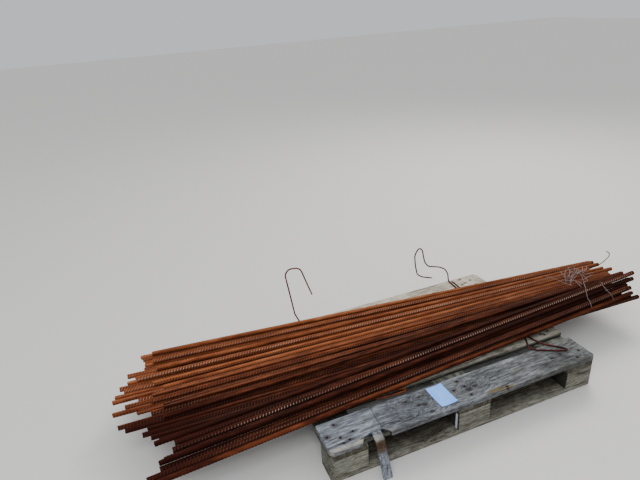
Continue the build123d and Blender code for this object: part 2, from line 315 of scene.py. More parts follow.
def copy_of_node(node, flat_faces=True):
    """A merged copy of a CAD node's mesh, to be worked on, its flat faces made whole."""
    piece = bpy.data.objects.new(node + "_copy", frame["nodes"][node].data.copy())
    bpy.context.scene.collection.objects.link(piece)
    piece.data.materials.clear()
    in_edit_mode(piece, lambda: bpy.ops.mesh.remove_doubles(threshold=1e-5))
    if flat_faces:
        in_edit_mode(piece, lambda: bpy.ops.mesh.dissolve_limited(angle_limit=0.02))
    return piece


class Shader:
    """A material and short ways to add and join its nodes."""

    def __init__(self, name):
        self.material = bpy.data.materials.new(name)
        self.material.use_nodes = True
        self.tree = self.material.node_tree
        self.surface = self.tree.nodes["Principled BSDF"]

    def add(self, kind, inputs=None, **settings):
        """A new node with its settings, and values or links on its inputs."""
        node = self.tree.nodes.new("ShaderNode" + kind)
        for key, value in settings.items():
            setattr(node, key, value)
        self.feed(node, inputs or {})
        return node

    def feed(self, node, inputs):
        """Link each input that is given a socket, and set each other one to its value."""
        for key, value in inputs.items():
            if isinstance(value, bpy.types.NodeSocket):
                self.tree.links.new(value, node.inputs[key])
            else:
                node.inputs[key].default_value = value

    def math(self, operation, first, second=0.0, third=0.0, clamp=False):
        inputs = {0: first, 1: second, 2: third}
        return self.add("Math", inputs, operation=operation, use_clamp=clamp).outputs[0]

    def mix(self, share, first, second, blend="MIX"):
        inputs = {0: share, 6: first, 7: second}
        return self.add("Mix", inputs, data_type="RGBA", blend_type=blend).outputs[2]

    def noise(self, vector, scale, detail=4.0, roughness=0.55, distortion=0.0):
        inputs = {"Vector": vector, "Scale": scale, "Detail": detail, "Roughness": roughness,
                  "Distortion": distortion}
        return self.add("TexNoise", inputs).outputs["Fac"]

    def stretched(self, vector, scale, place=(0, 0, 0)):
        inputs = {"Vector": vector, "Scale": scale, "Location": place}
        return self.add("Mapping", inputs).outputs["Vector"]

    def between(self, value, low, high, to_low=0.0, to_high=1.0):
        """The value moved smoothly from one range to another, held at its ends."""
        inputs = {"Value": value, "From Min": low, "From Max": high, "To Min": to_low, "To Max": to_high}
        return self.add("MapRange", inputs, interpolation_type="SMOOTHSTEP").outputs["Result"]

    def ramp(self, value, stops):
        """The colour at a value on a band of (position, colour) stops."""
        node = self.add("ValToRGB", {"Fac": value})
        band = node.color_ramp
        while len(band.elements) < len(stops):
            band.elements.new(0.5)
        for element, (position, shade) in zip(band.elements, stops):
            element.position = position
            element.color = shade
        return node.outputs["Color"]

    def attribute(self, name):
        return self.add("Attribute", attribute_name=name).outputs["Fac"]

    def object_place(self):
        return self.add("TexCoord").outputs["Object"]

    def bump(self, height, strength, distance):
        inputs = {"Height": height, "Strength": strength, "Distance": distance}
        self.feed(self.surface, {"Normal": self.add("Bump", inputs).outputs["Normal"]})


def shade(red, green, blue):
    """A screen colour, 0 to 255, as the linear colour that a material takes."""
    linear = [((v / 255 + 0.055) / 1.055) ** 2.4 if v > 10 else v / 255 / 12.92 for v in (red, green, blue)]
    return (*linear, 1.0)


def make_rust():
    """Rusty ribbed bar, orange-brown to maroon by bar, with painted shade on the front layers, at the rib
    roots and towards the bars' ends, and rubbed rib crests with a painted highlight.
    """
    s = Shader("rusty_bar")
    place = s.object_place()
    tone_and_shade = s.attribute("tone_and_shade")
    worn_and_glinting_bar = s.attribute("worn_and_glinting")
    streaks = s.noise(s.stretched(place, (2.6, 34.0, 34.0)), 1.0, 5.0, 0.62, 0.5)
    patches = s.noise(s.stretched(place, (18.0, 70.0, 70.0)), 1.0, 3.0, 0.55)
    grit = s.noise(place, 620.0, 3.0, 0.7)
    level = s.math("ADD", s.math("MULTIPLY", streaks, 0.75), s.math("MULTIPLY", patches, 0.45))
    level = s.math("ADD", level, s.math("MULTIPLY", s.math("SUBTRACT", grit, 0.5), 0.45))
    # Darker bars by their tone: partly their own rust, partly painted shade on the front layers
    level = s.math("SUBTRACT", level, s.math("MULTIPLY", tone_and_shade, 0.56), clamp=True)
    rust = s.ramp(level, [(0.00, shade(34, 12, 7)), (0.16, shade(62, 26, 14)), (0.34, shade(104, 52, 29)),
                          (0.54, shade(146, 82, 48)), (0.80, shade(180, 122, 84))])

    # Where on its own bar the surface lies, along it and from its axis, and so how far from a rib
    on_bar = s.add("Attribute", attribute_name="on_bar").outputs["Vector"]
    own = s.add("SeparateXYZ", {0: on_bar}).outputs
    side = s.math("SIGN", own["Y"])
    lean = s.math("MULTIPLY", s.math("MULTIPLY", own["Z"], side), math.tan(RIB_SLANT))
    along = s.math("DIVIDE", s.math("SUBTRACT", own["X"], lean), RIB_PITCH)
    along = s.math("SUBTRACT", along, s.math("ADD", s.math("MULTIPLY", side, -0.25), 1.0))
    off_rib = s.math("PINGPONG", along, 0.5)
    in_row = s.between(s.math("ABSOLUTE", own["Z"]), 0.0070, 0.0084, 1.0, 0.0)
    # Painted shade beside each rib, at its root on the core, fading out up the rib
    root = s.math("MULTIPLY", s.between(off_rib, 0.20, 0.44, 1.0, 0.0), in_row)
    crest = s.attribute("crest")
    root = s.math("MULTIPLY", root, s.between(crest, 0.55, 0.95, 1.0, 0.0))
    rust = s.mix(s.math("MULTIPLY", root, 0.66), rust, shade(20, 7, 4))
    # Painted shade on the darker bars towards their left ends, where their crests get no highlight either
    left_end_shade = s.math("MULTIPLY", s.between(own["X"], 0.02, 0.42, 0.8, 0.0), s.between(tone_and_shade, 0.55, 0.80))
    rust = s.mix(left_end_shade, rust, shade(42, 12, 7))
    # Painted shade: every bar darker towards its right end
    rust = s.mix(s.between(own["X"], 0.70, 2.00, 0.0, 0.36), rust, shade(40, 17, 8))

    wear = s.between(s.noise(s.stretched(place, (4.0, 30.0, 30.0)), 1.0, 3.0, 0.5), 0.40, 0.58)
    # Paler rib crests: partly worn bare, partly a painted highlight
    share = s.math("MULTIPLY", s.between(crest, 0.60, 0.92), worn_and_glinting_bar)
    share = s.math("MULTIPLY", share, s.math("ADD", s.math("MULTIPLY", wear, 0.5), 0.5))
    share = s.math("MULTIPLY", share, s.math("SUBTRACT", 1.0, left_end_shade))
    rust = s.mix(share, rust, shade(204, 176, 158))
    ends = s.ramp(s.noise(place, 300.0, 3.0), [(0.3, shade(44, 20, 12)), (0.7, shade(112, 60, 30))])
    rust = s.mix(s.attribute("cut_end"), rust, ends)
    s.feed(s.surface, {"Base Color": rust, "Roughness": s.between(grit, 0.3, 0.7, 0.72, 0.95),
                       "Specular IOR Level": 0.07})
    s.bump(s.math("ADD", grit, patches), 0.4, 0.0006)
    return s.material


def make_wire_rust(name, dark, light, roughness):
    """Thin drawn wire, with rust in short patches along it."""
    s = Shader(name)
    place = s.object_place()
    patches = s.noise(place, 45.0, 4.0, 0.6)
    grit = s.noise(place, 700.0, 2.0, 0.6)
    level = s.math("ADD", s.math("MULTIPLY", patches, 0.75), s.math("MULTIPLY", grit, 0.25))
    s.feed(s.surface, {"Base Color": s.ramp(level, [(0.32, dark), (0.68, light)]), "Roughness": roughness,
                       "Specular IOR Level": 0.15})
    s.bump(grit, 0.3, 0.0004)
    return s.material


def nearest(s, place, spots, squeeze):
    """The distance to the nearest of some places on the deck, with X squeezed so that they come out long."""
    place = s.stretched(place, (squeeze, 1.0, 1.0))
    away = None
    for x, y in spots:
        spot = (x * squeeze, y, DECK_TOP)
        far = s.add("VectorMath", {0: place, 1: spot}, operation="DISTANCE").outputs["Value"]
        away = far if away is None else s.math("MINIMUM", away, far)
    return away


def wood_grain(s, place, along):
    """Lines along the grain that bend round the knots, and the finer and broader marks on them."""
    board = s.attribute("board")
    shift = s.add("CombineXYZ", {"X": s.math("MULTIPLY", board, 3.7), "Y": s.math("MULTIPLY", board, 1.3),
                                 "Z": s.math("MULTIPLY", board, 2.1)}).outputs[0]
    here = s.add("VectorMath", {0: place, 1: shift}, operation="ADD").outputs[0]
    knot_scale = [0.5 if axis == along else 1.0 for axis in range(3)]
    knots = s.add("TexVoronoi", {"Vector": s.stretched(here, knot_scale), "Scale": 4.5,
                                 "Randomness": 1.0}).outputs["Distance"]
    seen_knot = nearest(s, place, SEEN_KNOTS, 0.62)
    swirl = s.math("MULTIPLY", s.between(knots, 0.02, 0.26, 1.0, 0.0), 0.05)
    swirl = s.math("ADD", swirl, s.between(seen_knot, 0.003, 0.055, 0.055, 0.0))
    aside = s.math("ADD", swirl, s.math("MULTIPLY", s.noise(here, 3.0, 2.0, 0.5), 0.03))
    pushed = s.add("CombineXYZ", {axis: aside for axis in range(3) if axis != along}).outputs[0]
    bent = s.add("VectorMath", {0: here, 1: pushed}, operation="ADD").outputs[0]
    lines = s.stretched(bent, [0.06 if axis == along else 1.0 for axis in range(3)])
    broad = s.stretched(here, (2.0, 5.0, 5.0) if along == 0 else (5.0, 2.0, 5.0))
    heart = s.math("MAXIMUM", s.between(knots, 0.012, 0.045, 1.0, 0.0),
                   s.between(seen_knot, 0.003, 0.011, 1.0, 0.0))
    return {"here": here, "heart": heart, "fibre": s.noise(lines, 520.0, 5.0, 0.72),
            "rings": s.noise(lines, 130.0, 3.0, 0.55), "cloud": s.noise(broad, 1.8, 5.0, 0.62),
            "mottle": s.noise(broad, 14.0, 6.0, 0.72),
            "splits": s.between(s.noise(lines, 170.0, 2.0, 0.4), 0.26, 0.31, 1.0, 0.0)}


def grey_wood(s, grain):
    """Plain grey wood, turned blue-grey with painted sky shade and pale and warm with painted sunlight."""
    level = s.math("ADD", s.math("MULTIPLY", grain["rings"], 0.36), s.math("MULTIPLY", grain["fibre"], 0.36))
    level = s.math("ADD", level, s.math("MULTIPLY", grain["cloud"], 0.28))
    level = s.math("ADD", level, s.math("MULTIPLY", s.math("SUBTRACT", grain["mottle"], 0.5), 0.34))
    sky_shade_grey = s.ramp(level, [(0.37, shade(42, 40, 40)), (0.46, shade(84, 86, 90)), (0.54, shade(112, 117, 125)),
                          (0.66, shade(158, 164, 174))])
    plain = s.ramp(level, [(0.37, shade(40, 38, 33)), (0.46, shade(82, 82, 74)), (0.54, shade(110, 111, 101)),
                           (0.66, shade(150, 151, 139))])
    sunlit_grey = s.ramp(level, [(0.36, shade(94, 86, 74)), (0.46, shade(150, 141, 127)),
                          (0.54, shade(184, 176, 161)), (0.68, shade(216, 210, 196))])
    grey = s.mix(s.attribute("painted_sky_shade"), plain, sky_shade_grey)
    return s.mix(s.attribute("painted_sunlit"), grey, sunlit_grey)


def soiled(s, grain, wood):
    """The wood with its painted shade on the deck, moss, knots and small splits."""
    painted_deck_shade = s.math("MULTIPLY", s.attribute("painted_deck_shade"), s.between(grain["cloud"], 0.34, 0.60, 1.0, 0.65))
    # Painted shade, multiplied into the deck's colour
    wood = s.mix(painted_deck_shade, wood, (0.30, 0.30, 0.31, 1.0), "MULTIPLY")
    moss = s.between(s.noise(grain["here"], 9.0, 5.0, 0.65), 0.56, 0.70)
    wood = s.mix(s.math("MULTIPLY", moss, 0.25), wood, shade(86, 80, 54))
    wood = s.mix(s.math("MULTIPLY", grain["heart"], 0.85), wood, shade(36, 28, 25))
    return s.mix(s.math("MULTIPLY", grain["splits"], 0.7), wood, shade(30, 26, 24))


def rotted(s, grain, place, wood):
    """The wood with its rotten places, and painted shade for the holes in them."""
    rotten = s.between(nearest(s, place, ROTTEN_PLACES, 0.20), 0.004, 0.013, 1.0, 0.0)
    rotten = s.math("MULTIPLY", rotten, s.between(grain["mottle"], 0.30, 0.56, 0.35, 1.0))
    rot = s.ramp(grain["fibre"], [(0.35, shade(52, 43, 28)), (0.65, shade(114, 100, 64))])
    wood = s.mix(rotten, wood, rot)
    # Painted shade: dark spots stand for the holes in the rotten places
    holes = nearest(s, place, ROTTEN_HOLES, 0.6)
    return s.mix(s.between(holes, 0.0025, 0.0045, 0.95, 0.0), wood, shade(18, 13, 10))


def worn_and_stained(s, grain, wood):
    """The wood with its worn places, its damp and painted shade, its painted black shadow in gaps, the rust
    from its nails and painted shade in its cracks.
    """
    fibre = grain["fibre"]
    worn = s.math("MULTIPLY", s.attribute("worn"), s.between(grain["mottle"], 0.34, 0.60, 0.35, 0.85))
    wood = s.mix(worn, wood, s.ramp(fibre, [(0.30, shade(112, 108, 100)), (0.62, shade(170, 167, 156))]))
    damp_and_shade_share = s.math("MULTIPLY", s.attribute("damp_and_shade"), s.between(grain["mottle"], 0.25, 0.65, 1.0, 0.7))
    wood = s.mix(damp_and_shade_share, wood, s.ramp(fibre, [(0.30, shade(24, 19, 14)), (0.68, shade(66, 54, 40))]))
    # Painted black shadow in gaps, in the notch and inside the pallet
    wood = s.mix(s.attribute("painted_gap_shadow"), wood, shade(10, 8, 7))
    stain_and_crack_shade = s.math("MULTIPLY", s.attribute("stain_and_crack_shade"), s.between(fibre, 0.3, 0.7, 0.7, 1.0))
    return s.mix(stain_and_crack_shade, wood, shade(34, 17, 17))


def freshly_torn(s, grain, place, wood, top):
    """The wood with a brown band under its top, where it tore not long ago."""
    height = s.add("SeparateXYZ", {0: place}).outputs["Z"]
    fresh = s.math("MULTIPLY", s.between(height, top - 0.058, top - 0.036),
                   s.between(height, top - 0.008, top, 1.0, 0.0))
    brown = s.ramp(grain["fibre"], [(0.30, shade(26, 16, 9)), (0.52, shade(66, 45, 24)),
                                    (0.72, shade(120, 92, 56))])
    return s.mix(s.math("MULTIPLY", fresh, 0.8), wood, brown)


def make_wood(name, along, fresh_below=None):
    """Weathered grey softwood. The grain runs along one axis: 0 for X, 1 for Y and 2 for Z."""
    s = Shader(name)
    place = s.object_place()
    grain = wood_grain(s, place, along)
    wood = soiled(s, grain, grey_wood(s, grain))
    wood = rotted(s, grain, place, wood)
    wood = worn_and_stained(s, grain, wood)
    if fresh_below:
        wood = freshly_torn(s, grain, place, wood, fresh_below)
    s.feed(s.surface, {"Base Color": wood, "Roughness": s.between(grain["fibre"], 0.2, 0.8, 0.96, 0.80),
                       "Specular IOR Level": 0.12})
    relief = s.math("ADD", s.math("MULTIPLY", grain["fibre"], 0.7), s.math("MULTIPLY", grain["rings"], 0.6))
    s.bump(s.math("SUBTRACT", relief, grain["splits"]), 0.55, 0.0014)
    return s.material


def make_paper(name, dark, light):
    """Plain paper, slightly cloudy."""
    s = Shader(name)
    place = s.object_place()
    cloud = s.noise(place, 30.0, 3.0)
    s.feed(s.surface, {"Specular IOR Level": 0.1, "Base Color": s.ramp(cloud, [(0.3, dark), (0.7, light)]),
                       "Roughness": 0.6})
    s.bump(s.noise(place, 900.0, 2.0), 0.1, 0.0002)
    return s.material


def transverse_rib():
    """One crescent rib on the bar's +Y side: low and sloped, spun round an axis set off towards it."""
    bpy.ops.mesh.primitive_plane_add(size=1.0, location=(0, (RIB_CREST + RIB_ROOT) / 2, 0))
    rib = bpy.context.object
    rib.scale = (RIB_WIDTH, RIB_CREST - RIB_ROOT, 1)
    settle_place(rib)

    def narrow_the_crest():
        select_where(rib, lambda at: at.y > RIB_CREST - 1e-5, "VERT")
        bpy.ops.transform.resize(value=(RIB_CREST_WIDTH / RIB_WIDTH, 1, 1))

    def sweep_round():
        bpy.ops.transform.rotate(value=-RIB_SWEEP / 2, orient_axis="X", center_override=(0, RIB_SHIFT, 0))
        bpy.ops.mesh.spin(steps=RIB_STEPS, angle=RIB_SWEEP, center=(0, RIB_SHIFT, 0), axis=(1, 0, 0))

    def slant():
        bpy.ops.transform.rotate(value=RIB_SLANT, orient_axis="Y", center_override=(0, 0, 0))

    in_edit_mode(rib, narrow_the_crest, sweep_round, slant)
    in_edit_mode(rib, lambda: bpy.ops.mesh.fill_holes(sides=4))
    outward_faces(rib)
    return rib


def ribbed_bar():
    """A straight ribbed bar along +X from the origin, with its crests and cut ends marked."""
    bpy.ops.mesh.primitive_cylinder_add(vertices=CORE_SIDES, radius=CORE_RADIUS, depth=BAR_LENGTH,
                                        location=(BAR_LENGTH / 2, 0, 0), rotation=(0, math.pi / 2, 0))
    core = bpy.context.object
    settle_place(core)

    def cropped_at(end, lean):
        """A cut end: a narrow rim, with the face inside it leaning and sunk a little."""
        def step():
            select_where(core, lambda face: abs(face.center.x - end) < 1e-4)
            bpy.ops.mesh.inset(thickness=CUT_RIM)
            bpy.ops.transform.rotate(value=lean, orient_axis="Y", center_override=(end, 0, 0))
            select_where(core, lambda face: abs(face.center.x - end) < 3e-3 and abs(face.normal.x) > 0.9)
            bpy.ops.transform.translate(value=(-CUT_SINK if end else CUT_SINK, 0, 0))
        return step

    in_edit_mode(core, *(cropped_at(end, lean) for end, lean in CUT_LEANS.items()))
    rows = []
    for side in range(2):
        rib = transverse_rib()
        rib.location.x = RIB_PITCH * (FIRST_RIB + side / 2)
        settle_place(rib)
        count = int((BAR_LENGTH - RIB_PITCH) / RIB_PITCH)
        apply_modifier(rib, "ARRAY", count=count, use_relative_offset=False, use_constant_offset=True,
                       constant_offset_displace=(RIB_PITCH, 0, 0))
        if side:
            in_edit_mode(rib, lambda: bpy.ops.transform.rotate(value=math.pi, orient_axis="X",
                                                               center_override=(0, 0, 0)))
        rows.append(rib)
    for side in (-1, 1):
        middle = side * (SEAM_CREST + RIB_ROOT) / 2
        bpy.ops.mesh.primitive_cube_add(size=1.0, location=(BAR_LENGTH / 2, 0, middle))
        seam = bpy.context.object
        seam.scale = (BAR_LENGTH - SEAM_SHORT, SEAM_WIDTH, SEAM_CREST - RIB_ROOT)
        settle_place(seam)
        rows.append(seam)
    select_only(core, *rows)
    bpy.ops.object.join()
    at = places(core)
    radius = np.hypot(at[:, 1], at[:, 2])
    mark(core, "crest", np.clip((radius - CORE_RADIUS) / (RIB_CREST - CORE_RADIUS), 0, 1))
    on_end = (at[:, 0] < END_REACH) | (at[:, 0] > BAR_LENGTH - END_REACH)
    mark(core, "cut_end", on_end & (radius < CORE_RADIUS - 0.0005))
    mark_place(core, "on_bar", at)
    bpy.ops.object.shade_smooth_by_angle(angle=math.radians(38))
    return core


def bar_lines(node):
    """Where each bar of a node starts and ends, read from the node's separate solids."""
    layer = copy_of_node(node)
    select_only(layer)
    bpy.ops.mesh.separate(type="LOOSE")
    lines = []
    for solid in list(bpy.context.selected_objects):
        at = places(solid)
        start = at[at[:, 0] < at[:, 0].min() + SOLID_END_REACH].mean(axis=0)
        end = at[at[:, 0] > at[:, 0].max() - SOLID_END_REACH].mean(axis=0)
        lines.append((Vector(start), Vector(end)))
        bpy.data.objects.remove(solid)
    return sorted(lines, key=lambda line: line[0].y)


def lay_bars(pattern, material):
    """Each layer of bars as one piece: copies of the ribbed bar on the layer's own lines."""
    for node, looks in BAR_LOOKS.items():
        copies = []
        for (start, end), (darkness, worn_and_glinting, roll) in zip(bar_lines(node), looks):
            bar = pattern.copy()
            bar.data = pattern.data.copy()
            bpy.context.scene.collection.objects.link(bar)
            turn = (end - start).to_track_quat("X", "Z").to_matrix().to_4x4()
            rolled = Matrix.Rotation(math.radians(FACING_ROLL + roll), 4, "X")
            bar.matrix_world = Matrix.Translation(start) @ turn @ rolled
            mark(bar, "tone_and_shade", np.full(len(bar.data.vertices), darkness))
            mark(bar, "worn_and_glinting", np.full(len(bar.data.vertices), worn_and_glinting))
            copies.append(bar)
        select_only(*copies)
        bpy.ops.object.join()
        layer = bpy.context.object
        settle_place(layer)
        finished(layer, "ribbed_" + node, material, "rusty_steel", node)
    bpy.data.objects.remove(pattern)


def smooth_wire(node, name, material, slot, fuller):
    """The node's wire, merged, rounded and drawn a little fuller."""
    wire = copy_of_node(node, flat_faces=False)
    in_edit_mode(wire, lambda: bpy.ops.mesh.tris_convert_to_quads(face_threshold=0.7, shape_threshold=0.7))
    apply_modifier(wire, "SUBSURF", levels=1, render_levels=1)
    apply_modifier(wire, "DISPLACE", strength=fuller, mid_level=0.0)
    select_only(wire)
    bpy.ops.object.shade_smooth()
    finished(wire, name, material, slot, node)


def loose_loops(routes):
    """More thin loops in the tangle of binding wire, laid over the bars that are under them."""
    bars = np.concatenate([places(piece) for piece in bpy.data.objects if piece.name.startswith("ribbed_")])
    bars = bars[bars[:, 0] > min(x for points in routes for x, y, lift in points) - LOOP_REACH]
    loops = []
    for points in routes:
        bpy.ops.curve.primitive_bezier_curve_add(location=(0, 0, 0))
        loop = bpy.context.object
        route = loop.data.splines[0]
        route.bezier_points.add(len(points) - len(route.bezier_points))
        for knot, (x, y, lift) in zip(route.bezier_points, points):
            under = bars[np.hypot(bars[:, 0] - x, bars[:, 1] - y) < LOOP_REACH]
            knot.co = (x, y, under[:, 2].max() + LOOP_RADIUS + lift)
            knot.handle_left_type = knot.handle_right_type = "AUTO"
        loop.data.resolution_u = 8
        loop.data.bevel_depth = LOOP_RADIUS
        loop.data.bevel_resolution = 1
        loop.data.use_fill_caps = True
        select_only(loop)
        bpy.ops.object.convert(target="MESH")
        outward_faces(loop)
        loops.append(loop)
    select_only(*loops)
    bpy.ops.object.join()
    bpy.ops.object.shade_smooth_by_angle(angle=math.radians(50))
    finished(loops[0], "binding_loops", grey_wire, "binding_wire")


def cut_across(board, axis, low, high, step):
    """Cut the board's faces at even steps along an axis, so that they can be worn."""
    count = int((high - low) / step)
    normal = [float(k == axis) for k in range(3)]
    for k in range(1, count):
        at = [0.0, 0.0, 0.0]
        at[axis] = low + (high - low) * k / count
        in_edit_mode(board, lambda: bpy.ops.mesh.bisect(plane_co=at, plane_no=normal))


def crack_cutter(points, width, depth, top):
    """A thin upright wall along a crack's line, to be cut out of a board."""
    line = bpy.data.curves.new("crack", "CURVE")
    line.dimensions = "2D"
    line.extrude = depth
    spline = line.splines.new("POLY")
    spline.points.add(len(points) - 1)
    for point, (x, y) in zip(spline.points, points):
        point.co = (x, y, 0, 1)
    cutter = bpy.data.objects.new("crack", line)
    cutter.location.z = top
    bpy.context.scene.collection.objects.link(cutter)
    select_only(cutter)
    bpy.ops.object.convert(target="MESH")
    cutter = bpy.context.object
    settle_place(cutter)
    apply_modifier(cutter, "SOLIDIFY", thickness=width, offset=0.0)
    outward_faces(cutter)
    return cutter


def wear_down_front(board):
    """Round off the front board's top edge where it is worn, left of the broken place."""
    def on_edge(a, b):
        return (max(a.y, b.y) < FRONT + 0.001 and min(a.z, b.z) > DECK_TOP - 0.001
                and max(a.x, b.x) < FRONT_WEAR_END)
    select_where(board, on_edge, "EDGE")
    bpy.ops.mesh.bevel(offset=FRONT_WEAR, segments=3, profile=0.6)


def sawn_board(node, along, fine):
    """A board or block with worn edges, an uneven sawn surface and its cracks."""
    board = copy_of_node(node)
    low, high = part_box(node)
    if node == "deck_board_1":
        in_edit_mode(board, lambda: wear_down_front(board))
    apply_modifier(board, "BEVEL", width=EDGE_WEAR, segments=2, limit_method="ANGLE",
                   angle_limit=math.radians(40))
    for axis in range(3):
        step = fine * (LONG_STEP if axis == along else 1.0)
        cut_across(board, axis, low[axis], high[axis], step)
    wear = bpy.data.textures.new(node + "_wear", "CLOUDS")
    wear.noise_scale = 0.05
    apply_modifier(board, "DISPLACE", texture=wear, texture_coords="LOCAL", strength=SURFACE_WEAR,
                   mid_level=0.55)
    for points, width, depth in CRACKS.get(node, []):
        cutter = crack_cutter(points, width, depth, high.z)
        apply_modifier(board, "BOOLEAN", object=cutter, operation="DIFFERENCE", solver="EXACT")
        bpy.data.objects.remove(cutter)
    return board


def nail_spots():
    """Where nail heads show on top of the deck, by board: the photograph's own, then two over each block."""
    spots = {node: list(seen) for node, seen in SEEN_NAILS.items()}
    for number in range(1, 6):
        node = f"deck_board_{number}"
        low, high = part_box(node)
        middle, reach = (low.y + high.y) / 2, (high.y - low.y) / 4
        for column in BLOCK_COLUMNS:
            if any(abs(spot[0] - column) < 0.09 for spot in spots.get(node, [])):
                continue
            for side in (-1, 1):
                x = column + draws.uniform(-0.05, 0.05)
                y = middle + side * reach + draws.uniform(-0.008, 0.008)
                spots.setdefault(node, []).append((x, y, 1))
    return spots


def stained(board, node, spots):
    """How dark each vertex is from rust round the nails, or from painted shade inside a crack."""
    at = places(board)
    stain_and_crack_shade = np.zeros(len(at))
    on_top = at[:, 2] > DECK_TOP - 0.006
    for x, y, long in spots:
        away = np.hypot((at[:, 0] - x) / (STAIN_LENGTH * long), (at[:, 1] - y) / STAIN_WIDTH)
        stain_and_crack_shade = np.maximum(stain_and_crack_shade, np.clip(1.35 - away, 0, 1) * on_top)
    for points, width, depth in CRACKS.get(node, []):
        for (x1, y1), (x2, y2) in zip(points, points[1:]):
            run = np.array([x2 - x1, y2 - y1])
            share = np.clip(((at[:, :2] - [x1, y1]) @ run) / (run @ run), 0, 1)
            away = np.hypot(*(at[:, :2] - [x1, y1] - share[:, None] * run).T)
            # Painted shade inside the crack
            inside = (away < width) & (at[:, 2] < DECK_TOP - 0.0015) & (at[:, 2] > DECK_TOP - depth - 0.001)
            stain_and_crack_shade = np.maximum(stain_and_crack_shade, inside)
    return stain_and_crack_shade


def ragged(at, seed):
    """An uneven value along the pallet, -1 to 1, at each place."""
    x = at[:, 0]
    return (np.sin(x * 61 + seed) + np.sin(x * 143 + 2.3 * seed) + 0.7 * np.sin(x * 307 + 4.1 * seed)) / 2.7


def rise(values, start, run):
    """From 0 to 1 while the values pass from the start over the run."""
    return np.clip((values - start) / run, 0, 1)


def painted_sunlight_share(at, node, low, high):
    """How much painted sunlight makes the wood pale and warm: most at the pallet's back and on top."""
    x, y, z = at.T
    if node == "deck_board_2":
        return 0.42 * rise(z, low.z + GAP_SHADOW, SHADOW_EDGE)
    if node.startswith("block_front"):
        return 0.14 * (y < FRONT + SKIN)
    if node.startswith("bottom"):
        return np.where(z > high.z - 0.003, 0.15, 0.30 * (y < FRONT + 0.003))
    return rise(y, 0.02, 0.26) * (0.25 + 0.75 * rise(z, DECK_TOP - 0.03, 0.02))


def worn_pale(at, number):
    """How pale the front edge is worn: most left of the broken place, and in a few chips."""
    x, y, z = at.T
    front = rise(-y + 0.004 * ragged(at, number), HALF_WIDTH - 0.016, 0.005) * (z > DECK_UNDERSIDE - 0.001)
    left = rise(-x, 0.32, 0.10)
    chips = rise(ragged(at, number + 5), 0.1, 0.2)
    face = (y < FRONT + 0.0015) & (x < -0.47) & (z < DECK_TOP - 0.007)
    return front * np.maximum(left * np.where(face, 0.25, 1.0), 0.10 * chips)


def deck_shade_share(at, node):
    """How much painted shade the deck's top has, towards the front board's right and in its listed places."""
    x, y, z = at.T
    painted_deck_shade = 0.22 * rise(x, -0.45, 0.15) * (node == "deck_board_1")
    for spot_x, spot_y, reach, amount in DECK_SHADE_PLACES:
        away = np.hypot((x - spot_x) / reach, (y - spot_y) / (reach * 0.55))
        painted_deck_shade = np.maximum(painted_deck_shade, amount * np.clip(1.5 - away, 0, 1) * (z > DECK_TOP - 0.02))
    return painted_deck_shade


def in_a_gap(at, node, low, high):
    """How much painted black shadow the wood has deep in a gap, in the notch or inside the pallet."""
    x, y, z = at.T
    if node == "stringer_left":
        return 0.75 * (np.abs(y) < HALF_WIDTH - 0.003) * (x > low.x + 0.002)
    if node == "bottom_board_middle" or node.startswith("block_middle"):
        return np.full(len(at), 0.85)
    if node.startswith("block"):
        outside = np.abs(np.abs(x) - HALF_LENGTH) <= 0.003
        return 0.70 * ~outside * ((np.abs(x - low.x) < 1e-3) | (np.abs(x - high.x) < 1e-3))
    if not node.startswith("deck_board"):
        return np.zeros(len(at))
    painted_gap_shadow = 0.96 * between_boards(y, low, high) * rise(-z, -low.z - GAP_SHADOW, SHADOW_EDGE)
    if node == "deck_board_1":
        torn = (x > NOTCH_LEFT) & (x < NOTCH_RIGHT) & (y > FRONT + 0.0015) & (y < NOTCH_BACK)
        painted_gap_shadow = np.maximum(painted_gap_shadow, 0.80 * (torn & (z < DECK_TOP - SKIN)))
    return painted_gap_shadow


def between_boards(y, low, high):
    """Whether a place is on a long side that faces another board."""
    on_side = (np.abs(y - low.y) < 2e-3) | (np.abs(y - high.y) < 2e-3)
    return on_side & (np.abs(y) < HALF_WIDTH - 0.002)


def damp_and_shade(at, node, low, high):
    """How dark the wood is with damp and painted shade: on the front's lower edges, in gaps and underneath.
    """
    x, y, z = at.T
    deck = node.startswith("deck_board")
    front = (y < FRONT + SKIN) & (z > STRINGER_UNDERSIDE + 0.001)
    front = front * np.where(z > DECK_UNDERSIDE - 0.0005, np.where(x < -0.45, 0.25, 0.35), 0.80)
    inside = np.abs(y) < HALF_WIDTH - 0.002
    if node.startswith("bottom"):
        under = np.clip((y - FRONT - 0.003) / 0.05, 0.25, 0.80) * (z > high.z - 0.003)
    elif node.startswith("stringer"):
        under = (0.55 if node == "stringer_left" else 0.08) * inside
    else:
        under = 0.35 * rise(-z, 0.0015 - DECK_UNDERSIDE, 0.001) * inside * (np.abs(x) < HALF_LENGTH - 0.002)
    return np.clip(front + between_boards(y, low, high) * 0.25 * deck + under, 0, 0.95)


def weathered(board, node, number):
    """Mark where the board has painted sunlight, painted sky shade or painted shade on the deck, where it is
    worn pale, dark with damp and painted shade, or painted black shadow in a gap.
    """
    at = places(board)
    low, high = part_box(node)
    front_board = node in ("deck_board_1", "deck_board_splinter")
    mark(board, "painted_sunlit", painted_sunlight_share(at, node, low, high))
    # Painted shade: the front board turns blue-grey as in skylit shade, most at its left
    mark(board, "painted_sky_shade", front_board * np.clip(1.2 - (at[:, 0] + HALF_LENGTH) / 1.6, 0, 1))
    mark(board, "worn", worn_pale(at, number) * node.startswith("deck_board"))
    mark(board, "painted_deck_shade", deck_shade_share(at, node))
    mark(board, "painted_gap_shadow", in_a_gap(at, node, low, high))
    mark(board, "damp_and_shade", damp_and_shade(at, node, low, high))


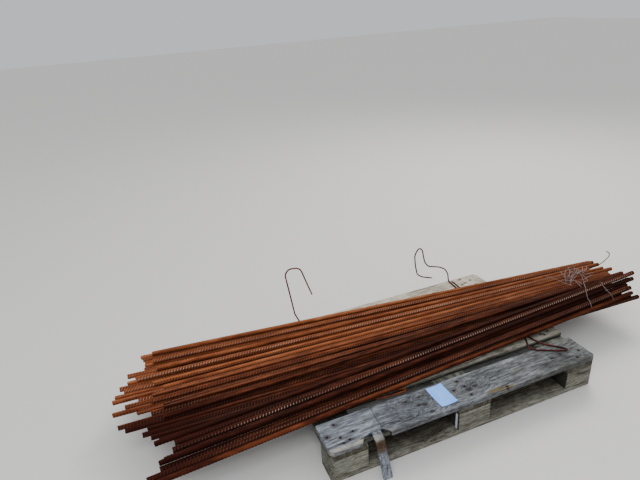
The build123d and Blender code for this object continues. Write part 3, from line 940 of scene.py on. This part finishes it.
def nail_heads(spots, name):
    """Round nail heads on the deck, slightly domed and sunk into the wood."""
    heads = []
    for x, y, _ in spots:
        bpy.ops.mesh.primitive_cylinder_add(vertices=12, radius=NAIL_RADIUS, depth=NAIL_DEPTH,
                                            location=(x, y, DECK_TOP - NAIL_DEPTH / 2 + NAIL_PROUD))
        head = bpy.context.object
        head.rotation_euler = (draws.uniform(-0.08, 0.08), draws.uniform(-0.08, 0.08), 0)
        apply_modifier(head, "BEVEL", width=0.0007, segments=2, limit_method="ANGLE")
        settle_place(head)
        heads.append(head)
    select_only(*heads)
    bpy.ops.object.join()
    bpy.ops.object.shade_smooth_by_angle(angle=math.radians(40))
    return finished(heads[0], name, nail_rust, "tie_wire")


def torn_fibres():
    """Loose splinters at both ends of the broken place in the front board."""
    low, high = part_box("deck_board_1")
    fibres = []
    for side, x, count, highest in TORN_ENDS:
        for k in range(count):
            reach = draws.uniform(0.012, 0.042)
            y = draws.uniform(TORN_LOWEST_Y, highest)
            z = draws.uniform(low.z + 0.003, high.z - 0.002)
            bpy.ops.mesh.primitive_cone_add(vertices=5, radius1=1, radius2=0.12, depth=1)
            fibre = bpy.context.object
            fibre.scale = (draws.uniform(0.0012, 0.0026), draws.uniform(0.0007, 0.0014), reach)
            lean = draws.uniform(-0.16, 0.16)
            fibre.rotation_euler = (0, side * math.pi / 2 + lean, draws.uniform(-0.2, 0.2))
            fibre.location = (x + side * reach / 2, y, z)
            settle_place(fibre)
            fibres.append(fibre)
    select_only(*fibres)
    bpy.ops.object.join()
    for name in ("board", "stain_and_crack_shade", "painted_sunlit", "painted_sky_shade", "painted_deck_shade", "painted_gap_shadow", "damp_and_shade", "worn"):
        mark(fibres[0], name, np.full(len(fibres[0].data.vertices), 0.5 if name == "damp_and_shade" else 0.0))
    return finished(fibres[0], "torn_fibres", wood_x, "weathered_wood")


def paper_strip():
    """A blank strip of paper on the left face of the front middle block."""
    low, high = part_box("block_front_middle")
    bpy.ops.mesh.primitive_grid_add(x_subdivisions=6, y_subdivisions=3, size=1.0)
    strip = bpy.context.object
    strip.scale = (STRIP_LENGTH, STRIP_WIDTH, 1)
    strip.rotation_euler = (0, math.pi / 2, 0)
    strip.location = (low.x - STRIP_CLEAR, STRIP_Y, STRIP_Z)
    settle_place(strip)
    ripple = bpy.data.textures.new("strip_ripple", "CLOUDS")
    ripple.noise_scale = 0.03
    apply_modifier(strip, "DISPLACE", texture=ripple, texture_coords="LOCAL", strength=0.0012, mid_level=0.5)
    apply_modifier(strip, "SOLIDIFY", thickness=STRIP_SHEET, offset=0.0)
    return finished(strip, "blank_label", label_paper, "paper")


def paper_sheet():
    """The blank tag: a thin sheet with slightly lifted corners, in the node's place."""
    low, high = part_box("paper_tag")
    centre = (low + high) / 2
    bpy.ops.mesh.primitive_grid_add(x_subdivisions=10, y_subdivisions=14, size=1.0)
    sheet = bpy.context.object
    sheet.scale = (TAG_WIDTH, TAG_LENGTH, 1)
    settle_place(sheet)
    for vertex in sheet.data.vertices:
        far = abs(vertex.co.x) / TAG_WIDTH + abs(vertex.co.y) / TAG_LENGTH
        vertex.co.z = TAG_LIFT * max(0.0, far - TAG_FLAT_SHARE) ** 2 + TAG_CLEAR
    apply_modifier(sheet, "SOLIDIFY", thickness=TAG_SHEET, offset=1.0)
    sheet.rotation_euler.z = TAG_TURN
    sheet.location = (centre.x, centre.y, low.z)
    settle_place(sheet)
    select_only(sheet)
    bpy.ops.object.shade_smooth_by_angle(angle=math.radians(40))
    return finished(sheet, "blank_tag", shade_blue_tag_paper, "paper", "paper_tag")


# Materials
rust = make_rust()
# Painted light: the left tie is a lighter copy of the tie wire's rust, as lit by the sun
painted_sunlit_tie_rust = make_wire_rust("painted_sunlit_tie_wire", shade(54, 22, 11), shade(124, 60, 30), 0.7)
tie_rust = make_wire_rust("rusty_tie_wire", shade(28, 9, 8), shade(86, 32, 23), 0.7)
grey_wire = make_wire_rust("dull_binding_wire", shade(86, 73, 71), shade(148, 131, 128), 0.55)
wood_x = make_wood("weathered_wood_along", 0)
wood_y = make_wood("weathered_wood_across", 1)
splinter_wood = make_wood("torn_wood", 2, fresh_below=BROKEN_ABOVE)
nail_rust = make_wire_rust("rusty_nail", shade(8, 5, 5), shade(30, 17, 14), 0.85)
# Painted shade: the blank white tag coloured pale blue, as paper in skylit shade
shade_blue_tag_paper = make_paper("blank_tag_paper_in_painted_shade", shade(112, 167, 255), shade(128, 181, 255))
label_paper = make_paper("blank_label_paper", shade(206, 204, 214), shade(226, 224, 232))

# Bars and wires
lay_bars(ribbed_bar(), rust)
smooth_wire("tie_left", "left_tie", painted_sunlit_tie_rust, "tie_wire", TIE_FULLER)
smooth_wire("tie_right", "right_tie", tie_rust, "tie_wire", TIE_FULLER)
smooth_wire("binding_wire_tail", "binding_tail", nail_rust, "tie_wire", TAIL_FULLER)
smooth_wire("binding_wire_strands", "binding_strands", grey_wire, "binding_wire", STRAND_FULLER)
loose_loops(WIRE_LOOPS)

# Pallet and paper
spots = nail_spots()
wooden = [node for node in sorted(frame["nodes"])
          if node.startswith(("deck_", "stringer_", "block_", "bottom_"))]
for number, node in enumerate(wooden):
    torn = node == "deck_board_splinter"
    along = 1 if torn or node.startswith("stringer") else 0
    board = sawn_board(node, along, GRAIN_STEPS.get(node, PLAIN_STEP))
    mark(board, "board", np.full(len(board.data.vertices), number))
    mark(board, "stain_and_crack_shade", stained(board, node, spots.get(node, [])))
    weathered(board, node, number)
    select_only(board)
    bpy.ops.object.shade_smooth_by_angle(angle=math.radians(40))
    finished(board, "sawn_" + node, splinter_wood if torn else (wood_y if along else wood_x),
             "weathered_wood", node)
for node, places_on_it in spots.items():
    nail_heads(places_on_it, "nails_" + node)
torn_fibres()
paper_strip()
paper_sheet()

def soft_light(name, place, size, power, colour, target=(0, 0, 0.1)):
    bpy.ops.object.light_add(type="AREA", location=place)
    light = bpy.context.object
    light.name = name
    light.data.shape = "DISK"
    light.data.size = size
    light.data.energy = power
    light.data.color = colour
    light.rotation_euler = (Vector(target) - Vector(place)).to_track_quat("-Z", "Y").to_euler()


# Camera, floor and light
bpy.ops.object.camera_add(location=CAMERA_PLACE, rotation=[math.radians(a) for a in CAMERA_TURN])
camera = bpy.context.object
camera.data.lens = CAMERA_LENS
camera.data.sensor_width = CAMERA_SENSOR
bpy.context.scene.camera = camera

bpy.ops.mesh.primitive_plane_add(size=40.0, location=(0, 0, -0.0005))
floor = bpy.context.object
floor.name = "pale_floor"
ground = Shader("pale_floor")
ground.feed(ground.surface, {"Base Color": shade(206, 204, 200), "Roughness": 0.95})
floor.data.materials.append(ground.material)


soft_light("key", (2.6, 2.2, 3.6), 2.0, 126, (1.0, 0.96, 0.89))
soft_light("front", (-1.7, -2.3, 3.8), 2.4, 95, (0.94, 0.97, 1.0))
bpy.ops.object.light_add(type="SUN", rotation=(math.radians(-20), math.radians(14), 0))
wide = bpy.context.object
wide.name = "wide_light"
wide.data.angle = math.radians(60)
wide.data.energy = 1.0
world = bpy.data.worlds.new("studio")
world.use_nodes = True
world.node_tree.nodes["Background"].inputs["Color"].default_value = (0.93, 0.96, 1.0, 1.0)
world.node_tree.nodes["Background"].inputs["Strength"].default_value = 0.70
bpy.context.scene.world = world
